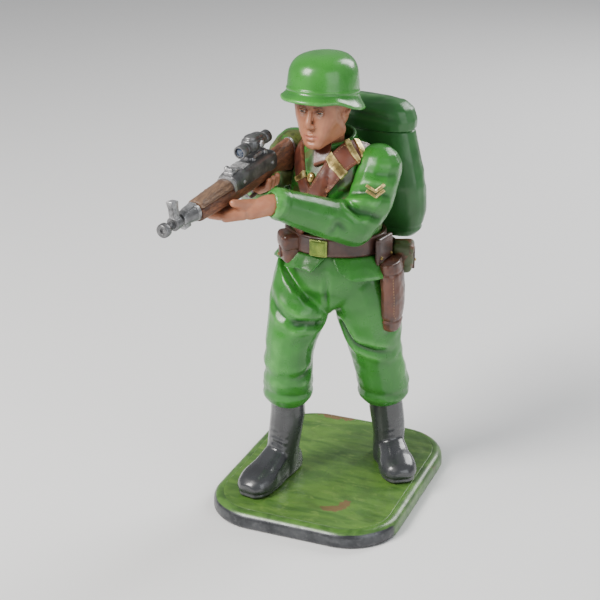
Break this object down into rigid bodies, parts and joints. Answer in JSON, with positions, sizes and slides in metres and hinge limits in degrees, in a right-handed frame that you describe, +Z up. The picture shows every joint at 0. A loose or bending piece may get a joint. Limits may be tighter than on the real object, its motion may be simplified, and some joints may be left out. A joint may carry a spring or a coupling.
{
  "type": "action figure",
  "caption": "Posable toy soldier in green uniform aiming a scoped rifle, with helmet, belt kit and backpack, on a flat display base.",
  "frame": {"origin": "centre of the base's underside, on the surface it stands on", "axes": "+Z up, the figure faces -Y, +X is the figure's left"},
  "size_m": [0.062, 0.1078, 0.1452],
  "materials": {
    "uniform_green": "glossy green paint, worn lighter on the folds",
    "helmet_green": "glossy green paint",
    "skin": "satin skin-coloured paint",
    "boot_gloss": "glossy near-black paint",
    "leather_brown": "satin red-brown paint",
    "stock_wood": "brown paint with a wood-like grain",
    "gun_metal": "metallic dark grey paint",
    "brass": "dull gold paint",
    "canteen_canvas": "olive canvas-like paint",
    "base_paint": "glossy dark grey paint turning green at the side",
    "ground_paint": "mottled green paint with brown patches",
    "pin_steel": "plain steel"
  },
  "bodies": {
    "stand": {"base_plate": "base_paint", "ground_insert": "ground_paint", "foot_peg_right": "pin_steel", "foot_peg_left": "pin_steel"},
    "lower_body": {"right_boot": "boot_gloss", "left_boot": "boot_gloss", "right_leg": "uniform_green", "left_leg": "uniform_green", "pelvis": "uniform_green", "hip_pin_right": "pin_steel", "hip_pin_left": "pin_steel", "tunic_skirt": "uniform_green", "belt": "leather_brown", "waist_core": "uniform_green", "belt_buckle": "brass", "ammo_pouch": "leather_brown", "scabbard": "leather_brown", "scabbard_frog": "leather_brown", "bread_bag": "leather_brown", "canteen": "canteen_canvas", "waist_pin": "pin_steel"},
    "upper_body": {"torso_front": "uniform_green", "torso_back": "uniform_green", "torso_screw_right": "pin_steel", "torso_screw_left": "pin_steel", "collar": "uniform_green", "strap_left": "leather_brown", "strap_right": "leather_brown", "keeper_left_upper": "brass", "keeper_left_lower": "brass", "keeper_right": "brass", "chest_badge": "brass"},
    "pack": {"backpack": "uniform_green", "pack_flap": "uniform_green"},
    "neck": {"neck_post": "pin_steel"},
    "head": {"head": "skin", "neck": "skin"},
    "helmet": {"helmet": "helmet_green"},
    "right_arm_and_rifle": {"right_arm": "uniform_green", "right_hand": "skin", "shoulder_pin_right": "pin_steel", "rifle_stock": "stock_wood", "handguard": "stock_wood", "barrel": "gun_metal", "receiver": "gun_metal", "nose_cap": "gun_metal", "front_sight": "gun_metal", "scope": "gun_metal", "scope_mount": "gun_metal"},
    "left_arm_and_hand": {"left_arm": "uniform_green", "left_hand": "skin", "shoulder_pin_left": "pin_steel", "sleeve_chevron": "brass"}
  },
  "joints": [
    {"name": "stand_lift", "type": "slide", "parent": "stand", "child": "lower_body", "axis": [0, 0, 1], "range_m": [0, 0.012]},
    {"name": "waist_turn", "type": "hinge", "parent": "lower_body", "child": "upper_body", "pos_m": [0.0015, -0.002, 0.0908], "axis": [0, 0, 1], "range_deg": [-12, 20]},
    {"name": "pack_pull", "type": "slide", "parent": "upper_body", "child": "pack", "axis": [0.1736, 0.9848, 0], "range_m": [0, 0.012]},
    {"name": "neck_nod", "type": "hinge", "parent": "upper_body", "child": "neck", "pos_m": [0.00115, -0.00397, 0.1142], "axis": [0.9848, -0.1736, 0], "range_deg": [-6, 0]},
    {"name": "head_turn", "type": "hinge", "parent": "neck", "child": "head", "pos_m": [0.00115, -0.00397, 0.1142], "axis": [0, 0, 1], "range_deg": [-35, 35]},
    {"name": "helmet_lift", "type": "slide", "parent": "head", "child": "helmet", "axis": [0, 0, 1], "range_m": [0, 0.02]},
    {"name": "right_shoulder_raise", "type": "hinge", "parent": "upper_body", "child": "right_arm_and_rifle", "pos_m": [0.0015, -0.002, 0.112], "axis": [-0.9848, 0.1736, 0], "range_deg": [-5, 10]},
    {"name": "left_shoulder_raise", "type": "hinge", "parent": "upper_body", "child": "left_arm_and_hand", "pos_m": [0.0015, -0.002, 0.112], "axis": [-0.9848, 0.1736, 0], "range_deg": [-5, 10]}
  ],
  "couplings": [
    {"joint": "left_shoulder_raise", "follows": "right_shoulder_raise", "ratio": 1}
  ]
}
